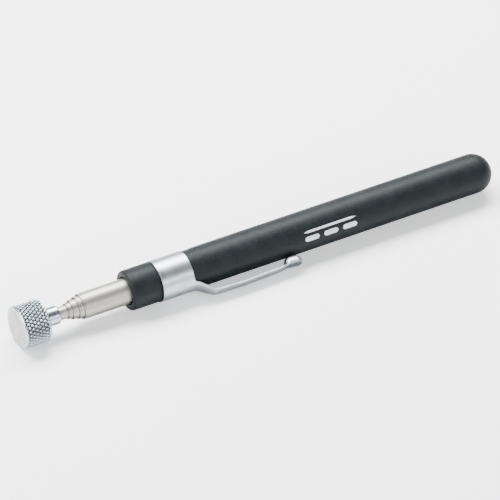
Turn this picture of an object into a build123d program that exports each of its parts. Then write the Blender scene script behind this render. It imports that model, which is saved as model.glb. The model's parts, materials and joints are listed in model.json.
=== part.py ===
from build123d import *

import math
import os

# Telescoping magnetic pickup tool, closed. Millimetres.
# The origin is the centre of the magnet's working face. +X runs along the tool's axis towards
# the closed end of the handle, +Z is up, and the pocket clip is on the -Y side.

# ---- driving dimensions ----
CLOSED_LENGTH = 162.0
CONTACT_CLEARANCE = 0.05            # radial gap of every sliding fit

# head
HEAD_RADIUS = 6.6
HEAD_LENGTH = 8.4
HEAD_FRONT_CHAMFER = 0.3
HEAD_REAR_CHAMFER = 0.4
MAGNET_RADIUS = 5.35
MAGNET_THICKNESS = 3.0
MAGNET_PROUD = 0.05                 # the magnet stands this far out of the cup
PLATE_THICKNESS = 1.0
CUP_LAND = 0.95                     # flat ring of the cup round the magnet
NECK_RADIUS = 2.85
NECK_END = 13.6
NECK_ROUND = 0.75
STUD_THREAD_RADIUS = 1.25
STUD_SHANK_LENGTH = 6.0

# telescopic tubes, from the thinnest sliding tube to the fixed one in the handle
TUBE_WALL = 0.25
THINNEST_RADIUS = 2.06
RADIUS_STEP = 0.48
TUBE_RADII = [THINNEST_RADIUS + RADIUS_STEP * number for number in range(5)]
TUBE_FRONTS = [6.0, 16.2, 17.6, 19.4, 20.9]
SLIDING_TUBE_END = 155.0
OUTER_TUBE_END = 158.5
CRIMP_LENGTH = 1.1                  # the rolled-in front end of each tube
CRIMP_DROP = 0.18
LIP_LENGTH = 0.8
LIP_SHOULDER = 0.3

# collars and friction springs at the rear of the sliding tubes
BUSH_LENGTH = 2.4
SPRING_LENGTH = 10.0
SPRING_SLOT = 0.8
SPRING_CUT_DEPTH = 1.0              # through the spring's wall, and SPRING_CUT_OVER past its ends
SPRING_CUT_OVER = 0.5
SPRING_GAP = 0.1
TURNING_CLEARANCE = 0.02            # the thinnest tube turns inside its own spring
END_PLUG_LENGTH = 3.0

# sleeve
SLEEVE_RADIUS = 6.125
SLEEVE_FRONT = 36.3
SLEEVE_LIP_ROUND = 0.9
SWELL_RADIUS = 6.225                # ahead of the clip's band, which squeezes the sleeve
SWELL_END = 45.1
SQUEEZED_RADIUS = 6.01
SQUEEZED_START = 45.5
SQUEEZED_END = 59.0
SQUEEZE_FADE = 1.6
MOUTH_RADIUS = 4.35
MOUTH_DEPTH = 3.0
MOUTH_ROUND = 0.3

# pocket clip: a sheet-metal band round the sleeve, and an arm that ends in a pressed dish
CLIP_SHEET = 0.35
CLIP_DROP = 25                      # degrees that the clip hangs below level on its side
BAND_FRONT = 45.9
BAND_REAR = 56.4
BAND_SHIFT = 0.1                    # the band bulges towards the arm
BAND_INNER_ACROSS = 6.05            # half-width across the tool
BAND_INNER_OUTWARD = 6.13           # half-width along the arm's side
# Middle of the arm's sheet from the side: (X, distance from the axis), and the bends between.
ARM_JOG_START_X = 57.9
ARM_JOG_END = (62.3, 9.75)
ARM_CROWN = (72.0, 10.02)
ARM_FALL_END = (84.0, 9.62)
ARM_TIP = (87.2, 9.36)
ARM_BENDS = [2.2, 2.2, 30, 8]
# The arm from outside: half-widths, some at an X.
ARM_ROOT_HALF_WIDTH = 3.1
ARM_ROOT_FLARE = 1.1
ARM_NARROWING = [(61.9, 2.3), (66.0, 1.93)]
ARM_NARROWING_SLOPES = [-0.05, -0.005]
ARM_MIDDLE = (74.0, 1.85)
ARM_TIP_HALF_WIDTH = 1.7
# The dish pressed in the arm's tip, its closed side towards the sleeve.
DISH_X = 89.1
DISH_LENGTH = 5.6
DISH_WIDTH = 4.2
DISH_CORNER_RADIUS = 1.9
DISH_CROWN_RADIUS = 1.4
DISH_BOTTOM_DISTANCE = 6.45         # from the axis
DISH_RIM_FRONT_DISTANCE = 9.78
DISH_RIM_REAR_DISTANCE = 9.2
CLIP_REACH = 12                     # beyond every piece of the clip


def outline_of(points, rounds=()):
    """A flat face from (x, radius) points; rounds gives ((x, radius), rounding) of some corners."""
    outline = make_face(Polyline(*points, close=True))
    for corner, rounding in rounds:
        outline = fillet(outline.vertices().sort_by_distance(corner)[0], rounding)
    return outline


def turned(points, rounds=()):
    """A solid of revolution about X."""
    return revolve(outline_of(points, rounds), Axis.X, 360)


def ring(x_start, x_end, inner_radius, outer_radius):
    return turned([(x_start, inner_radius), (x_start, outer_radius),
                   (x_end, outer_radius), (x_end, inner_radius)])


def disc(x_start, x_end, radius):
    return turned([(x_start, 0), (x_start, radius), (x_end, radius), (x_end, 0)])


def tube_bore(number):
    return TUBE_RADII[number] - TUBE_WALL


# ---- head ----
def magnet_disc():
    return disc(0, MAGNET_THICKNESS, MAGNET_RADIUS)


def backing_plate():
    return disc(MAGNET_THICKNESS, MAGNET_THICKNESS + PLATE_THICKNESS, MAGNET_RADIUS)


def magnet_housing():
    """Turned cup with a neck: a pocket for the magnet in front and a socket for the tube behind."""
    pocket = MAGNET_THICKNESS + PLATE_THICKNESS
    land = MAGNET_RADIUS + CUP_LAND
    socket = TUBE_FRONTS[0]
    socket_radius = TUBE_RADII[0]
    return turned([
        (MAGNET_PROUD, MAGNET_RADIUS),
        (MAGNET_PROUD, land),
        (MAGNET_PROUD + HEAD_FRONT_CHAMFER, HEAD_RADIUS),
        (HEAD_LENGTH - HEAD_REAR_CHAMFER, HEAD_RADIUS),
        (HEAD_LENGTH, HEAD_RADIUS - HEAD_REAR_CHAMFER),
        (HEAD_LENGTH, NECK_RADIUS),
        (NECK_END, NECK_RADIUS),
        (NECK_END, socket_radius),
        (socket, socket_radius),
        (socket, STUD_THREAD_RADIUS),
        (pocket, STUD_THREAD_RADIUS),
        (pocket, MAGNET_RADIUS),
    ], [((NECK_END, NECK_RADIUS), NECK_ROUND)])


def head_stud():
    """Threaded through the cup's floor, with its shank pressed into the thinnest tube."""
    floor = MAGNET_THICKNESS + PLATE_THICKNESS
    step = TUBE_FRONTS[0]
    thread = disc(floor, step, STUD_THREAD_RADIUS)
    shank = disc(step, step + STUD_SHANK_LENGTH, tube_bore(0))
    return thread + shank


# ---- telescopic tubes ----
def plain_tube(number, end):
    return ring(TUBE_FRONTS[number], end, tube_bore(number), TUBE_RADII[number])


def crimped_tube(number, end):
    """Its front end is rolled in to guide the next thinner tube and to stop that tube's collar."""
    front = TUBE_FRONTS[number]
    outside = TUBE_RADII[number]
    bore = tube_bore(number)
    lip = TUBE_RADII[number - 1] + CONTACT_CLEARANCE
    return turned([
        (front, lip),
        (front, outside - CRIMP_DROP),
        (front + CRIMP_LENGTH, outside),
        (end, outside),
        (end, bore),
        (front + LIP_LENGTH + LIP_SHOULDER, bore),
        (front + LIP_LENGTH, lip),
    ])


def stop_bush(number):
    """Collar pressed on the rear end of a sliding tube."""
    outside = tube_bore(number + 1) - CONTACT_CLEARANCE
    return ring(SLIDING_TUBE_END - BUSH_LENGTH, SLIDING_TUBE_END, TUBE_RADII[number], outside)


def friction_spring(number):
    """Split sleeve just ahead of the collar; it rubs in the next tube's bore."""
    inside = TUBE_RADII[number]
    if number == 0:
        inside += TURNING_CLEARANCE
    outside = tube_bore(number + 1) - CONTACT_CLEARANCE
    rear = SLIDING_TUBE_END - BUSH_LENGTH - SPRING_GAP
    sleeve = ring(rear - SPRING_LENGTH, rear, inside, outside)
    slot_centre = Location((rear - SPRING_LENGTH / 2, 0, (inside + outside) / 2))
    slot = slot_centre * Box(SPRING_LENGTH + 2 * SPRING_CUT_OVER, SPRING_SLOT, SPRING_CUT_DEPTH)
    return sleeve - slot


def tube_end_plug():
    return disc(OUTER_TUBE_END - END_PLUG_LENGTH, OUTER_TUBE_END, tube_bore(4))


# ---- handle ----
def grip_sleeve():
    """Soft sleeve over the fixed tube: an open mouth in front, a round closed end behind."""
    tube = TUBE_RADII[4]
    mouth_end = SLEEVE_FRONT + MOUTH_DEPTH
    body = turned([
        (SLEEVE_FRONT, MOUTH_RADIUS),
        (SLEEVE_FRONT, SWELL_RADIUS),
        (SWELL_END, SWELL_RADIUS),
        (SQUEEZED_START, SQUEEZED_RADIUS),
        (SQUEEZED_END, SQUEEZED_RADIUS),
        (SQUEEZED_END + SQUEEZE_FADE, SLEEVE_RADIUS),
        (CLOSED_LENGTH - SLEEVE_RADIUS, SLEEVE_RADIUS),
        (CLOSED_LENGTH - SLEEVE_RADIUS, tube),
        (mouth_end, tube),
        (mouth_end, MOUTH_RADIUS),
    ], [
        ((SLEEVE_FRONT, MOUTH_RADIUS), MOUTH_ROUND),
        ((SLEEVE_FRONT, SWELL_RADIUS), SLEEVE_LIP_ROUND),
    ])
    end = Pos(CLOSED_LENGTH - SLEEVE_RADIUS, 0, 0) * Sphere(SLEEVE_RADIUS)
    end_tube = disc(0, OUTER_TUBE_END, tube)
    front_half = disc(0, CLOSED_LENGTH - SLEEVE_RADIUS, 2 * SLEEVE_RADIUS)
    return body + (end - front_half - end_tube)


# The clip is drawn with its arm towards +Z, then turned to its place.
def band_plane(x):
    return Plane(origin=(x, 0, BAND_SHIFT), x_dir=(0, 1, 0), z_dir=(1, 0, 0))


def band_section():
    outside = Ellipse(BAND_INNER_ACROSS + CLIP_SHEET, BAND_INNER_OUTWARD + CLIP_SHEET)
    inside = Ellipse(BAND_INNER_ACROSS, BAND_INNER_OUTWARD)
    return outside - inside


def clip_band():
    return extrude(band_plane(BAND_FRONT) * band_section(), BAND_REAR - BAND_FRONT)


def arm_path():
    """Middle of the sheet, seen from the side: out of the band, a jog outward, then level."""
    start = BAND_SHIFT + BAND_INNER_OUTWARD + CLIP_SHEET / 2
    corners = [(BAND_REAR, start), (ARM_JOG_START_X, start), ARM_JOG_END, ARM_CROWN, ARM_FALL_END, ARM_TIP]
    return FilletPolyline(*[(x, 0, distance) for x, distance in corners], radius=ARM_BENDS)


def arm_outline():
    """The arm seen from outside: flared root, tapering to the dish."""
    flare_end = (BAND_REAR + ARM_ROOT_FLARE, ARM_ROOT_HALF_WIDTH)
    flare_diagonal = ARM_ROOT_FLARE * (1 - math.sqrt(0.5))
    flare_middle = (BAND_REAR + flare_diagonal, ARM_ROOT_HALF_WIDTH + flare_diagonal)
    root_corner = (BAND_REAR, ARM_ROOT_HALF_WIDTH + ARM_ROOT_FLARE)
    tip_x = ARM_TIP[0]
    tip_corner = (tip_x, ARM_TIP_HALF_WIDTH)
    edge = [
        Line((BAND_REAR, 0), root_corner),
        ThreePointArc(root_corner, flare_middle, flare_end),
        Spline(flare_end, *ARM_NARROWING, ARM_MIDDLE,
               tangents=[(1, slope) for slope in ARM_NARROWING_SLOPES]),
        Line(ARM_MIDDLE, tip_corner),
        Line(tip_corner, (tip_x, 0)),
        Line((tip_x, 0), (BAND_REAR, 0)),
    ]
    half = make_face(Wire(edge))
    return half + mirror(half, Plane.XZ)


def clip_arm():
    """A sheet with the band's own curved section, swept along the path and trimmed."""
    height = BAND_INNER_OUTWARD + CLIP_SHEET
    top = Pos(0, height) * Rectangle(2 * (ARM_ROOT_HALF_WIDTH + ARM_ROOT_FLARE), height)
    strip = sweep(band_plane(BAND_REAR) * (band_section() & top), path=arm_path())
    return strip & extrude(arm_outline(), CLIP_REACH)


def dish_shape(inset):
    """The dish's outside as a solid, or its hollow when inset by the sheet."""
    outline = RectangleRounded(DISH_LENGTH - 2 * inset, DISH_WIDTH - 2 * inset, DISH_CORNER_RADIUS - inset)
    bottom = DISH_BOTTOM_DISTANCE + inset
    solid = extrude(Pos(DISH_X, 0, bottom) * outline, CLIP_REACH - bottom)
    return fillet(solid.faces().sort_by(Axis.Z)[0].edges(), DISH_CROWN_RADIUS - inset)


def clip_dish():
    slope = math.atan2(DISH_RIM_FRONT_DISTANCE - DISH_RIM_REAR_DISTANCE, DISH_LENGTH)
    rim = (DISH_RIM_FRONT_DISTANCE + DISH_RIM_REAR_DISTANCE) / 2
    rim_block = Pos(0, 0, CLIP_REACH / 2) * Box(CLIP_REACH, CLIP_REACH, CLIP_REACH)
    beyond_rim = Location((DISH_X, 0, rim), (0, math.degrees(slope), 0)) * rim_block
    return dish_shape(0) - dish_shape(CLIP_SHEET) - beyond_rim


def pocket_clip():
    arm = clip_arm() - dish_shape(CLIP_SHEET)
    return Rot(90 + CLIP_DROP, 0, 0) * (clip_band() + arm + clip_dish())


# ---- parts ----
def parts():
    made = {
        "magnet_disc": magnet_disc(),
        "backing_plate": backing_plate(),
        "magnet_housing": magnet_housing(),
        "head_stud": head_stud(),
        "section_tube_1": plain_tube(0, SLIDING_TUBE_END),
        "outer_tube": crimped_tube(4, OUTER_TUBE_END),
        "tube_end_plug": tube_end_plug(),
        "grip_sleeve": grip_sleeve(),
        "pocket_clip": pocket_clip(),
    }
    for number in (1, 2, 3):
        made[f"section_tube_{number + 1}"] = crimped_tube(number, SLIDING_TUBE_END)
    for number in range(4):
        made[f"stop_bush_{number + 1}"] = stop_bush(number)
        made[f"friction_spring_{number + 1}"] = friction_spring(number)
    return made


os.makedirs("parts", exist_ok=True)
for node, shape in parts().items():
    export_step(shape, f"parts/{node}.step")
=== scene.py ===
import bpy
import json
import math
from mathutils import Matrix, Vector


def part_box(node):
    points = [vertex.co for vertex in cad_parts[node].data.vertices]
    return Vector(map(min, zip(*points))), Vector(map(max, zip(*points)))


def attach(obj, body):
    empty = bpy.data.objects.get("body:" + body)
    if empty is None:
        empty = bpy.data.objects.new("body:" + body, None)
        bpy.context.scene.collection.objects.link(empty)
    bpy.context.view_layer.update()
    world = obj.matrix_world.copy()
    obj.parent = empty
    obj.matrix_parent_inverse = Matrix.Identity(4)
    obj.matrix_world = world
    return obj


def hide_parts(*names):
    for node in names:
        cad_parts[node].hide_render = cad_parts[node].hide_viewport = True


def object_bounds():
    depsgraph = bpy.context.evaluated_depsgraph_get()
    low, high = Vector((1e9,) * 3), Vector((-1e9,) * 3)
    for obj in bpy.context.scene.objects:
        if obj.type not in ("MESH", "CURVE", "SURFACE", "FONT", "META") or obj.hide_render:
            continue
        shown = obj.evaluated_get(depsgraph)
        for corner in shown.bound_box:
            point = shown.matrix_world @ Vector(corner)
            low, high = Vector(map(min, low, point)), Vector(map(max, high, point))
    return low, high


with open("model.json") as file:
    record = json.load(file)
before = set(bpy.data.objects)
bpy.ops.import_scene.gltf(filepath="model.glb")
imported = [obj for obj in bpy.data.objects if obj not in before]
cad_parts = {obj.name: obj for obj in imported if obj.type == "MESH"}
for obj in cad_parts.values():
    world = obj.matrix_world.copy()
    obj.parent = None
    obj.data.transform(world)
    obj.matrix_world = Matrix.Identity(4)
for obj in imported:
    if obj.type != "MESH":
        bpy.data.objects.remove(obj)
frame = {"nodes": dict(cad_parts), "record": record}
cad_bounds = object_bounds()

# Every length below is in millimetres, and MM turns it into Blender's metres.
MM = 0.001

# ---- camera: how the tool lies in the picture ----
TOOL_LEAN = math.radians(22.92)     # the handle's closed end leans away from the viewer
TOOL_RISE = math.radians(18.76)     # slope of the tool in the picture
TABLE_TURN = math.radians(46)       # the table, from straight below the tool towards the viewer
CLIP_DROP = math.radians(25)        # the clip, below level
CAMERA_DISTANCE = 1970
CAMERA_LENS = 474                   # focal length for the 36 mm wide sensor
AIM_X = 78.7                        # the picture's centre, along the tool's axis
AIM_BELOW = 0.3                     # and this far below the axis in the picture

# ---- light ----
TOOL_MIDDLE = Vector((AIM_X * MM, 0, 0))
WORLD_COLOUR = (0.9, 0.95, 1)
WORLD_LIGHT = 0.12                  # strength where it lights the tool
WORLD_SEEN = 1.0                    # strength where the camera sees it
FLOOR_SEEN = 0.75                   # glow of the floor where the camera sees it
FLOOR_HALF_SIZE = 4000

# ---- sizes that the CAD boxes don't give ----
CLIP_SHEET = 0.35
BAND_LENGTH = 10.5
BAND_SHIFT = 0.1
BAND_MID_ACROSS = 6.05 + CLIP_SHEET / 2
BAND_MID_OUTWARD = 6.13 + CLIP_SHEET / 2
# Middle of the arm's sheet from the side: (distance behind the band, distance from the axis, bend).
ARM_SIDE_LINE = [(5.9, 9.75, 2.2), (15.6, 10.02, 30), (27.6, 9.62, 8), (29.4, 9.5, 0)]
ARM_FLAT_LENGTH = 1.5               # before the first bend
ARM_FIRST_BEND = 2.2
ARM_ROOT_HALF_WIDTH = 3.1
ARM_ROOT_FLARE = 1.1
ARM_HALF_WIDTH = 1.88
ARM_NARROWING_LENGTH = 9.0
ARM_NARROWING_POWER = 2.2
ARM_TIP_TAPER = 0.2                 # that much less half-width, from 10 to 30 mm behind the band
ARM_STATION_STEP = 1.2
DISH_RIM_DISTANCE = 9.37
DISH_TILT = math.radians(6)
DISH_HALF_LENGTH = 2.6
DISH_HALF_WIDTH = 1.9
DISH_DEPTH = 2.76
DISH_SQUARENESS = 3.2               # 2 is an ellipsoid, and more is squarer
DISH_STEPS = 16

HEAD_RADIUS = 6.598
HEAD_LENGTH = 8.4
NECK_RADIUS = 2.85
CUP_RADIUS = 5.35
KNURL_COUNT = 34                    # grooves of each hand round the head
KNURL_LEAN = math.radians(30)       # between a groove and the tool's axis
KNURL_DEPTH = 0.42
KNURL_STEPS = 14                    # mesh steps for each groove
KNURL_FLANK = 0.62                  # share of a diamond that its sloping flanks take
KNURL_FADE_FRONT = 0.15
KNURL_FADE_REAR = 0.25
CUP_CHAMFER = 0.3

# rolled front ends of the tubes
TUBE_WALL = 0.25
TUBE_CLEARANCE = 0.05
ROLL_LENGTH = 1.1
ROLL_GAP = 0.17                     # the mouth is that much wider than the bore behind it


# ---- mesh helpers ----
def piece(name, points, faces, smooth=True):
    """A new mesh object from points in millimetres."""
    mesh = bpy.data.meshes.new(name)
    mesh.from_pydata([Vector(p) * MM for p in points], [], faces)
    mesh.validate()
    mesh.update()
    mesh.polygons.foreach_set("use_smooth", [smooth] * len(mesh.polygons))
    made = bpy.data.objects.new(name, mesh)
    bpy.context.scene.collection.objects.link(made)
    return made


def rounded_line(corners, steps=5, support=0.03):
    """A 2D line through corners (a, b, radius), with an arc at each corner that has a radius."""
    line = []
    last = len(corners) - 1
    for i, (a, b, radius) in enumerate(corners):
        here = Vector((a, b))
        if radius == 0 or i in (0, last):
            line.append(here)
            continue
        before = (Vector(corners[i - 1][:2]) - here).normalized()
        after = (Vector(corners[i + 1][:2]) - here).normalized()
        half = before.angle(after) / 2
        reach = radius / math.tan(half)
        centre = here + (before + after).normalized() * radius / math.sin(half)
        start = here + before * reach
        end = here + after * reach
        line.append(start + before * support)
        first = start - centre
        turn = first.angle_signed(end - centre)
        for k in range(steps + 1):
            line.append(centre + Matrix.Rotation(-turn * k / steps, 2) @ first)
        line.append(end + after * support)
    return line


def lathe(name, line, segments=128):
    """A surface of revolution about X from (x, radius) points; a radius of 0 makes a pole."""
    points = []
    rows = []
    for x, radius in line:
        if radius < 1e-6:
            rows.append([len(points)] * segments)
            points.append((x, 0, 0))
            continue
        rows.append(list(range(len(points), len(points) + segments)))
        for k in range(segments):
            angle = math.tau * k / segments
            points.append((x, radius * math.cos(angle), radius * math.sin(angle)))
    faces = []
    for low, high in zip(rows, rows[1:]):
        for k in range(segments):
            n = (k + 1) % segments
            face = [low[k], low[n], high[n], high[k]]
            face = [v for j, v in enumerate(face) if v != face[j - 1]]
            if len(face) > 2:
                faces.append(face)
    return piece(name, points, faces)


# ---- material helpers ----
class Nodes:
    """The node tree of one new material, with short ways to add to it."""

    def __init__(self, name):
        self.material = bpy.data.materials.new(name)
        self.material.use_nodes = True
        self.tree = self.material.node_tree
        self.shader = self.tree.nodes["Principled BSDF"]

    def add(self, kind, **settings):
        node = self.tree.nodes.new("ShaderNode" + kind)
        for key, value in settings.items():
            setattr(node, key, value)
        return node

    def link(self, source, target):
        self.tree.links.new(source, target)

    def set(self, **values):
        for key, value in values.items():
            socket = self.shader.inputs[key.replace("_", " ")]
            socket.default_value = (*value, 1) if isinstance(value, tuple) else value

    def noise(self, stretch, scale, detail=3.0, roughness=0.55):
        """Noise in the row frame's metres; a small stretch along an axis draws it out there."""
        where = self.add("TexCoord")
        mapping = self.add("Mapping")
        mapping.inputs["Scale"].default_value = stretch
        self.link(where.outputs["Object"], mapping.inputs["Vector"])
        noise = self.add("TexNoise")
        noise.inputs["Scale"].default_value = scale
        noise.inputs["Detail"].default_value = detail
        noise.inputs["Roughness"].default_value = roughness
        self.link(mapping.outputs["Vector"], noise.inputs["Vector"])
        return noise.outputs["Fac"]

    def ramp(self, source, low, high, start=0.0, end=1.0):
        """A value or a colour that goes from low to high as source goes from start to end."""
        coloured = isinstance(low, tuple)
        if coloured:
            node = self.add("ValToRGB")
            node.color_ramp.elements[0].position = start
            node.color_ramp.elements[1].position = end
            node.color_ramp.elements[0].color = (*low, 1)
            node.color_ramp.elements[1].color = (*high, 1)
            self.link(source, node.inputs["Fac"])
            return node.outputs["Color"]
        node = self.add("MapRange")
        node.inputs["From Min"].default_value = start
        node.inputs["From Max"].default_value = end
        node.inputs["To Min"].default_value = low
        node.inputs["To Max"].default_value = high
        self.link(source, node.inputs["Value"])
        return node.outputs["Result"]

    def mix(self, factor, first, second):
        """Two colours mixed by factor."""
        node = self.add("Mix", data_type="RGBA")
        self.link(factor, node.inputs["Factor"])
        for socket, colour in ((node.inputs[6], first), (node.inputs[7], second)):
            if isinstance(colour, tuple):
                socket.default_value = (*colour, 1)
            else:
                self.link(colour, socket)
        return node.outputs[2]

    def bump(self, height, depth, normal=None):
        """A bump of that depth in millimetres."""
        node = self.add("Bump")
        node.inputs["Strength"].default_value = 1.0
        node.inputs["Distance"].default_value = depth * MM
        self.link(height, node.inputs["Height"])
        if normal is not None:
            self.link(normal, node.inputs["Normal"])
        return node.outputs["Normal"]


# ---- materials ----
def sleeve_vinyl():
    """Matt black soft vinyl: fine grain, faint handling marks."""
    m = Nodes("sleeve_vinyl")
    cloud = m.noise((1, 1, 1), 160, 4)
    grain = m.noise((1, 1, 1), 3600, 3)
    speck = m.noise((1, 1, 1), 1500, 5, 0.7)
    plain = m.ramp(cloud, (0.0045, 0.007, 0.008), (0.008, 0.012, 0.0135), 0.35, 0.65)
    worn = m.ramp(speck, 0.0, 0.5, 0.5, 0.72)
    m.link(m.mix(worn, plain, (0.016, 0.023, 0.026)), m.shader.inputs["Base Color"])
    m.link(m.ramp(speck, 0.44, 0.6, 0.35, 0.65), m.shader.inputs["Roughness"])
    coarse = m.bump(speck, 0.05)
    m.link(m.bump(grain, 0.02, coarse), m.shader.inputs["Normal"])
    m.set(Specular_IOR_Level=0.16)
    return m.material


def tube_plating():
    """Drawn and nickel-plated tube: warm grey, with faint lines along the tube."""
    m = Nodes("tube_plating")
    lines = m.noise((0.02, 1, 1), 1500, 3)
    cloud = m.noise((0.3, 1, 1), 260, 4)
    m.link(m.ramp(cloud, (0.34, 0.335, 0.3), (0.4, 0.395, 0.355), 0.35, 0.65),
           m.shader.inputs["Base Color"])
    m.link(m.ramp(lines, 0.4, 0.5, 0.3, 0.7), m.shader.inputs["Roughness"])
    m.link(m.bump(lines, 0.0005), m.shader.inputs["Normal"])
    m.set(Metallic=1.0)
    return m.material


def head_plating():
    """Bright nickel over turned steel; painted shade darkens the knurl's grooves."""
    m = Nodes("head_plating")
    cloud = m.noise((1, 1, 1), 500, 4)
    fine = m.noise((1, 1, 1), 4200, 3)
    groove = m.add("Attribute", attribute_name="groove").outputs["Fac"]
    metal = m.ramp(cloud, (0.42, 0.48, 0.52), (0.5, 0.56, 0.6), 0.35, 0.65)
    # painted shade: a near-black colour mixed in by the groove attribute, strongest at the bottom of
    # each groove
    m.link(m.mix(groove, metal, (0.02, 0.032, 0.042)), m.shader.inputs["Base Color"])
    m.link(m.ramp(fine, 0.22, 0.34, 0.35, 0.65), m.shader.inputs["Roughness"])
    m.link(m.bump(fine, 0.002), m.shader.inputs["Normal"])
    m.set(Metallic=1.0)
    return m.material


def magnet_face():
    """Ground and nickel-plated magnet: satin, with fine marks across the face and small nicks."""
    m = Nodes("magnet_face")
    marks = m.noise((1, 1, 0.06), 5200, 3)
    cloud = m.noise((1, 1, 1), 420, 5)
    m.link(m.ramp(cloud, (0.4, 0.39, 0.35), (0.5, 0.49, 0.45), 0.35, 0.65),
           m.shader.inputs["Base Color"])
    m.link(m.ramp(marks, 0.42, 0.56, 0.3, 0.7), m.shader.inputs["Roughness"])
    m.link(m.bump(marks, 0.003), m.shader.inputs["Normal"])
    m.set(Metallic=0.85)
    return m.material


def clip_steel():
    """Polished spring steel with faint brushed lines round the band."""
    m = Nodes("clip_steel")
    lines = m.noise((1, 0.03, 0.03), 2600, 4)
    cloud = m.noise((1, 1, 1), 350, 4)
    m.link(m.ramp(cloud, (0.42, 0.47, 0.5), (0.49, 0.53, 0.55), 0.35, 0.65),
           m.shader.inputs["Base Color"])
    m.link(m.ramp(lines, 0.32, 0.44, 0.3, 0.7), m.shader.inputs["Roughness"])
    m.link(m.bump(lines, 0.0006), m.shader.inputs["Normal"])
    m.set(Metallic=1.0)
    return m.material


def turned_metal(name, dark, light, roughness):
    """Plain turned metal for the hidden pieces."""
    m = Nodes(name)
    lines = m.noise((1, 0.05, 0.05), 2600, 3)
    m.link(m.ramp(lines, dark, light, 0.3, 0.7), m.shader.inputs["Base Color"])
    m.link(m.ramp(lines, roughness, roughness + 0.12, 0.3, 0.7), m.shader.inputs["Roughness"])
    m.link(m.bump(lines, 0.003), m.shader.inputs["Normal"])
    m.set(Metallic=1.0)
    return m.material


def print_ink():
    """Pale screen-printed ink, slightly uneven."""
    m = Nodes("print_ink")
    speck = m.noise((1, 1, 1), 2600, 5, 0.7)
    m.link(m.ramp(speck, (0.62, 0.66, 0.68), (0.78, 0.82, 0.84), 0.35, 0.6),
           m.shader.inputs["Base Color"])
    m.link(m.ramp(speck, 0.45, 0.6, 0.35, 0.65), m.shader.inputs["Roughness"])
    m.link(m.bump(speck, 0.006), m.shader.inputs["Normal"])
    return m.material


def camera_ray(tree):
    """1 where the camera looks straight at the floor or the backdrop, so they look pale but cast
    no more light on the tool."""
    return tree.nodes.new("ShaderNodeLightPath").outputs["Is Camera Ray"]


def floor_paper():
    m = Nodes("floor_paper")
    cloud = m.noise((1, 1, 1), 9, 3)
    m.link(m.ramp(cloud, (0.86, 0.86, 0.86), (0.88, 0.88, 0.88), 0.3, 0.7),
           m.shader.inputs["Base Color"])
    m.set(Roughness=0.9, Specular_IOR_Level=0.1, Emission_Color=(0.96, 0.98, 1))
    m.link(m.ramp(camera_ray(m.tree), 0.0, FLOOR_SEEN), m.shader.inputs["Emission Strength"])
    return m.material


# ---- knurled head ----
def knurl_height(turn, along):
    """0 at the bottom of a groove and 1 on a diamond's top; turn and along count grooves."""
    nearest = []
    for value in (turn + along, turn - along):
        share = value - math.floor(value)
        nearest.append(min(share, 1 - share) * 2)
    return min(1.0, min(nearest) / KNURL_FLANK)


def knurled_head():
    """The cup and neck in one turned piece, with a cut diamond knurl round the cup."""
    low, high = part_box("magnet_housing")
    front = low.x / MM
    rear = high.x / MM
    land = HEAD_RADIUS - CUP_CHAMFER
    pitch = math.tau * HEAD_RADIUS / KNURL_COUNT
    axial = pitch / math.tan(KNURL_LEAN)
    step = axial / KNURL_STEPS
    knurl_start = front + 0.36
    knurl_end = HEAD_LENGTH - 0.45
    front_line = rounded_line([
        (front + 3.5, CUP_RADIUS, 0),
        (front, CUP_RADIUS, 0.04),
        (front, land, 0.06),
        (front + 0.28, HEAD_RADIUS, 0.06),
        (knurl_start, HEAD_RADIUS, 0),
    ], steps=4, support=0.02)
    rows = [(p.x, p.y, 0.0) for p in front_line]
    count = int((knurl_end - knurl_start) / step)
    for k in range(1, count + 1):
        x = knurl_start + k * step
        fade = min(1.0, (x - knurl_start) / KNURL_FADE_FRONT, (knurl_end - x) / KNURL_FADE_REAR)
        rows.append((x, HEAD_RADIUS, max(0.0, fade)))
    rear_line = rounded_line([
        (knurl_end, HEAD_RADIUS, 0),
        (HEAD_LENGTH - 0.35, HEAD_RADIUS, 0.08),
        (HEAD_LENGTH, HEAD_RADIUS - 0.35, 0.08),
        (HEAD_LENGTH, NECK_RADIUS, 0.25),
        (rear, NECK_RADIUS, 0.72),
        (rear, NECK_RADIUS - 0.77, 0),
        (rear - 2, NECK_RADIUS - 0.77, 0),
    ], steps=6, support=0.02)
    rows += [(p.x, p.y, 0.0) for p in rear_line]
    segments = KNURL_COUNT * KNURL_STEPS
    points = []
    groove_shade_depths = []
    for x, radius, fade in rows:
        along = (x - knurl_start) / axial
        for k in range(segments):
            height = knurl_height(k / KNURL_STEPS, along) if fade > 0 else 1.0
            cut = fade * (1 - height)
            angle = math.tau * k / segments
            r = radius - KNURL_DEPTH * cut
            points.append((x, r * math.cos(angle), r * math.sin(angle)))
            groove_shade_depths.append(cut)
    faces = []
    for row in range(len(rows) - 1):
        for k in range(segments):
            n = (k + 1) % segments
            faces.append((row * segments + k, row * segments + n,
                          (row + 1) * segments + n, (row + 1) * segments + k))
    made = piece("knurled_head", points, faces)
    # the cut depth of each point, stored as the groove attribute, sets how much painted shade the
    # grooves get
    groove = made.data.attributes.new("groove", "FLOAT", "POINT")
    groove.data.foreach_set("value", groove_shade_depths)
    return made


def magnet_insert():
    low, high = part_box("magnet_disc")
    front = low.x / MM
    rear = high.x / MM
    radius = high.z / MM
    line = rounded_line([
        (front, 0, 0),
        (front, radius, 0.12),
        (rear, radius, 0),
        (rear, 0, 0),
    ], support=0.1)
    return lathe("magnet_insert", line, 128)


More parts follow.
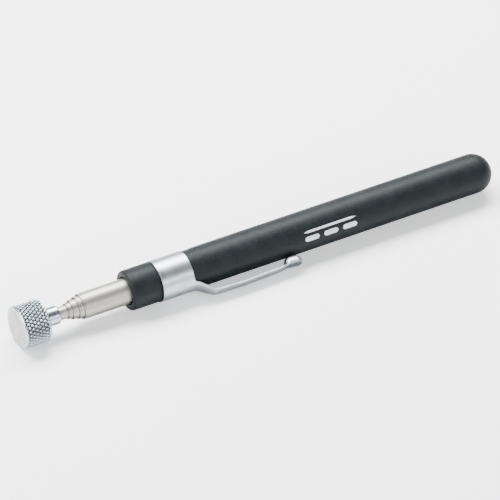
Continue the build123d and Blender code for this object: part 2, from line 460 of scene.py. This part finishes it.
# ---- telescopic tubes ----
def rolled_tube(node, inner_node):
    """A tube with its front end rolled in over the thinner tube: a round bead, and a gap inside it."""
    low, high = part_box(node)
    front = low.x / MM
    rear = high.x / MM
    outside = high.z / MM
    bore = outside - TUBE_WALL
    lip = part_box(inner_node)[1].z / MM + TUBE_CLEARANCE
    line = rounded_line([
        (rear, outside - TUBE_WALL / 2, 0),
        (rear, bore, 0.04),
        (front + ROLL_LENGTH, bore, 0.05),
        (front + 0.85, lip, 0.05),
        (front + 0.6, lip, 0.1),
        (front + 0.1, lip + ROLL_GAP, 0.04),
        (front, outside - 0.12, 0.06),
        (front + 0.3, outside - 0.01, 0.12),
        (front + 0.7, outside - 0.1, 0.15),
        (front + ROLL_LENGTH, outside, 0.15),
        (rear, outside, 0.04),
        (rear, outside - TUBE_WALL / 2, 0),
    ], steps=4, support=0.03)
    return lathe(f"{node}_rolled", line, 96)


# ---- pocket clip ----
def arm_side_line(front):
    """Middle of the arm's sheet from the side: (x, distance from the axis)."""
    start = BAND_SHIFT + BAND_MID_OUTWARD
    rear = front + BAND_LENGTH
    corners = [(rear, start, 0), (rear + ARM_FLAT_LENGTH, start, ARM_FIRST_BEND)]
    corners += [(rear + behind, distance, bend) for behind, distance, bend in ARM_SIDE_LINE]
    return rounded_line(corners, steps=8, support=0.2)


def arm_half_width(behind):
    """Half the arm's width, that far behind the band."""
    root = ARM_ROOT_HALF_WIDTH
    if behind < ARM_ROOT_FLARE:
        reach = ARM_ROOT_FLARE - behind
        return root + ARM_ROOT_FLARE - math.sqrt(max(0.0, ARM_ROOT_FLARE ** 2 - reach ** 2))
    share = min(1.0, (behind - ARM_ROOT_FLARE) / ARM_NARROWING_LENGTH)
    smooth = 1 - (1 - share) ** ARM_NARROWING_POWER
    narrow = root + (ARM_HALF_WIDTH - root) * smooth
    return narrow - ARM_TIP_TAPER * min(1.0, max(0.0, behind - 10) / 20)


def clip_stamping():
    """Band, arm and dish as one sheet: its middle surface as a grid, then given its thickness."""
    low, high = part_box("pocket_clip")
    front = low.x / MM
    rear = front + BAND_LENGTH
    columns = [-1, -0.93, -0.75, -0.5, -0.25, 0, 0.25, 0.5, 0.75, 0.93, 1]
    root_width = ARM_ROOT_HALF_WIDTH + ARM_ROOT_FLARE
    curvature = BAND_MID_ACROSS ** 2 / BAND_MID_OUTWARD

    def band_point(x, angle):
        """Angle 0 is on the arm's side."""
        outward = BAND_SHIFT + BAND_MID_OUTWARD * math.cos(angle)
        return (x, -outward, BAND_MID_ACROSS * math.sin(angle))

    points = []
    faces = []
    root_angle = math.asin(root_width / BAND_MID_ACROSS)
    root_angles = [math.asin(c * root_width / BAND_MID_ACROSS) for c in columns]
    others = 44
    angles = root_angles + [root_angle + (math.tau - 2 * root_angle) * k / others
                            for k in range(1, others)]
    lengths = [0, 0.1, 0.5, 1.6, 3.2, 5.2, 7.2, 8.8, 9.9, 10.4, BAND_LENGTH]
    for x in lengths:
        points += [band_point(front + x, angle) for angle in angles]
    around = len(angles)
    for i in range(len(lengths) - 1):
        for k in range(around):
            n = (k + 1) % around
            faces.append((i * around + k, (i + 1) * around + k,
                          (i + 1) * around + n, i * around + n))

    previous = [(len(lengths) - 1) * around + k for k in range(len(columns))]

    def next_row(row):
        nonlocal previous
        ids = list(range(len(points), len(points) + len(row)))
        points.extend(row)
        for k in range(len(row) - 1):
            faces.append((previous[k], ids[k], ids[k + 1], previous[k + 1]))
        previous = ids

    side = arm_side_line(front)
    flare_rows = [0.08, 0.22, 0.45, 0.75, ARM_ROOT_FLARE]
    start = side[0].y
    stations = [Vector((rear + d, start)) for d in flare_rows]
    for a, b in zip(side[1:], side[2:]):
        pieces = max(1, round((b - a).length / ARM_STATION_STEP))
        stations += [a.lerp(b, k / pieces) for k in range(pieces)]
    stations.append(side[-1])
    stations = [p for k, p in enumerate(stations) if k < len(flare_rows) or p.x > rear + 1.2]
    for station in stations:
        half = arm_half_width(station.x - rear)
        row = []
        for c in columns:
            across = c * half
            sag = curvature - math.sqrt(curvature ** 2 - across ** 2)
            row.append((station.x, -(station.y - sag), across))
        next_row(row)

    centre = Vector((high.x / MM - DISH_HALF_LENGTH - CLIP_SHEET / 2, -DISH_RIM_DISTANCE, 0))
    tilt = Matrix.Rotation(-DISH_TILT, 3, "Z")
    for i in range(DISH_STEPS + 1):
        u = -1 + 2 * i / DISH_STEPS
        row = []
        for v in columns:
            flat = Vector((u * math.sqrt(1 - v * v / 2), v * math.sqrt(1 - u * u / 2)))
            polar = min(1.0, flat.length) * math.pi / 2
            spin = math.atan2(flat.y, flat.x)
            ball = (math.sin(polar) * math.cos(spin), math.cos(polar),
                    math.sin(polar) * math.sin(spin))
            swell = sum(abs(part) ** DISH_SQUARENESS for part in ball) ** (-1 / DISH_SQUARENESS)
            local = Vector((ball[0] * DISH_HALF_LENGTH, ball[1] * DISH_DEPTH,
                            ball[2] * DISH_HALF_WIDTH))
            row.append(tuple(centre + tilt @ (local * swell)))
        next_row(row)

    drop = Matrix.Rotation(CLIP_DROP, 3, "X")
    made = piece("clip_stamping", [drop @ Vector(p) for p in points], faces)
    sheet = made.modifiers.new("sheet", "SOLIDIFY")
    sheet.thickness = CLIP_SHEET * MM
    sheet.offset = 0
    sheet.use_even_offset = True
    smooth = made.modifiers.new("smooth", "SUBSURF")
    smooth.levels = 2
    smooth.render_levels = 2
    return made


# ---- print on the sleeve ----
PRINT_SIDE = math.radians(37)       # from level on the near side towards the top
PRINT_START = 94.3
# Each bar: (start, round the sleeve, length, width).
PRINT_BARS = [
    (0, 0.0, 18.0, 0.7),
    (0, -2.2, 5.0, 1.6),
    (6.5, -2.2, 5.0, 1.6),
    (13.0, -2.2, 5.0, 1.6),
]
PRINT_LIFT = 0.015
PRINT_STEPS_ALONG = 12
PRINT_STEPS_ACROSS = 6


def printed_bars():
    """Plain bars printed along the sleeve."""
    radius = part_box("grip_sleeve")[1].z / MM + PRINT_LIFT
    points = []
    faces = []
    along = PRINT_STEPS_ALONG
    across = PRINT_STEPS_ACROSS
    for start, offset, length, width in PRINT_BARS:
        base = len(points)
        for i in range(along + 1):
            x = PRINT_START + start + length * i / along
            end = min(i, along - i) / along * length
            into_end = max(0.0, width / 2 - end)
            short = width / 2 - math.sqrt(max(0.0, (width / 2) ** 2 - into_end ** 2))
            for j in range(across + 1):
                arc = offset + (width / 2 - short) * (2 * j / across - 1)
                angle = PRINT_SIDE + arc / radius
                points.append((x, -radius * math.cos(angle), radius * math.sin(angle)))
        for i in range(along):
            for j in range(across):
                a = base + i * (across + 1) + j
                faces.append((a, a + 1, a + across + 2, a + across + 1))
    return piece("printed_bars", points, faces)


# ---- put the tool together ----
def paint(thing, material):
    thing.data.materials.clear()
    thing.data.materials.append(material)


def add_piece(made, body, material, slot, *nodes):
    paint(made, material)
    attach(made, body)
    if nodes:
        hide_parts(*nodes)


by_slot = {
    "sleeve_vinyl": sleeve_vinyl(),
    "tube_plating": tube_plating(),
    "head_plating": head_plating(),
    "magnet": magnet_face(),
    "clip_steel": clip_steel(),
    "plated_steel": turned_metal("plated_steel", (0.5, 0.51, 0.52), (0.62, 0.63, 0.64), 0.3),
    "brass": turned_metal("brass", (0.6, 0.44, 0.2), (0.74, 0.56, 0.28), 0.28),
    "spring_bronze": turned_metal("spring_bronze", (0.55, 0.36, 0.2), (0.68, 0.46, 0.28), 0.3),
    "print_ink": print_ink(),
}
for row in frame["record"]["subparts"]:
    material_slots = frame["nodes"][row["node"]].material_slots
    for index in range(len(material_slots)):
        material_slots[index].material = by_slot[row["material_slot"]]

add_piece(knurled_head(), "head", by_slot["head_plating"], "head_plating", "magnet_housing")
add_piece(magnet_insert(), "head", by_slot["magnet"], "magnet", "magnet_disc")
for body, node, inner_node in (("section_2", "section_tube_2", "section_tube_1"),
                               ("section_3", "section_tube_3", "section_tube_2"),
                               ("section_4", "section_tube_4", "section_tube_3"),
                               ("handle", "outer_tube", "section_tube_4")):
    add_piece(rolled_tube(node, inner_node), body, by_slot["tube_plating"], "tube_plating", node)
add_piece(clip_stamping(), "handle", by_slot["clip_steel"], "clip_steel", "pocket_clip")
add_piece(printed_bars(), "handle", by_slot["print_ink"], "print_ink")


# ---- floor, light and camera ----
def floor():
    size = FLOOR_HALF_SIZE
    height = cad_bounds[0][2] / MM
    points = [(x, y, height) for x, y in ((-size, -size), (size, -size), (size, size), (-size, size))]
    made = piece("floor", points, [(0, 1, 2, 3)])
    paint(made, floor_paper())


def softbox(name, direction, distance, width, depth, power):
    """A rectangular light that far from the tool's middle, facing it."""
    light = bpy.data.lights.new(name, "AREA")
    light.shape = "RECTANGLE"
    light.size = width * MM
    light.size_y = depth * MM
    light.energy = power
    made = bpy.data.objects.new(name, light)
    bpy.context.scene.collection.objects.link(made)
    direction = Vector(direction).normalized()
    made.location = TOOL_MIDDLE + direction * distance * MM
    made.rotation_euler = direction.to_track_quat("Z", "Y").to_euler()


def studio():
    softbox("back_softbox", (0.0, 0.5, 0.86), 800, 1300, 420, 44)
    softbox("front_softbox", (0.0, -1, 0.45), 900, 1300, 260, 7)
    softbox("left_card", (-1, 0.1, 0.35), 600, 300, 260, 3.2)
    world = bpy.data.worlds.new("studio")
    world.use_nodes = True
    tree = world.node_tree
    background = tree.nodes["Background"]
    background.inputs["Color"].default_value = (*WORLD_COLOUR, 1)
    strength = tree.nodes.new("ShaderNodeMapRange")
    strength.inputs["To Min"].default_value = WORLD_LIGHT
    strength.inputs["To Max"].default_value = WORLD_SEEN
    tree.links.new(camera_ray(tree), strength.inputs["Value"])
    tree.links.new(strength.outputs["Result"], background.inputs["Strength"])
    bpy.context.scene.world = world


def camera():
    lean, rise, turn = TOOL_LEAN, TOOL_RISE, TABLE_TURN
    along = Vector((math.cos(lean) * math.cos(rise), math.cos(lean) * math.sin(rise), -math.sin(lean)))
    below = Vector((math.sin(rise), -math.cos(rise), 0))
    toward = Vector((math.sin(lean) * math.cos(rise), math.sin(lean) * math.sin(rise), math.cos(lean)))
    near_side = below * math.cos(turn) + toward * math.sin(turn)
    turned = Matrix((along, -near_side, along.cross(-near_side)))
    up = turned @ Vector((0, 1, 0))
    back = turned @ Vector((0, 0, 1))
    aim = Vector((AIM_X, 0, 0)) - up * AIM_BELOW
    lens = bpy.data.cameras.new("camera")
    lens.lens = CAMERA_LENS
    lens.sensor_width = 36
    lens.clip_end = 20
    made = bpy.data.objects.new("camera", lens)
    bpy.context.scene.collection.objects.link(made)
    made.matrix_world = Matrix.Translation((aim + back * CAMERA_DISTANCE) * MM) @ turned.to_4x4()
    bpy.context.scene.camera = made


floor()
studio()
camera()

bpy.context.view_layer.update()
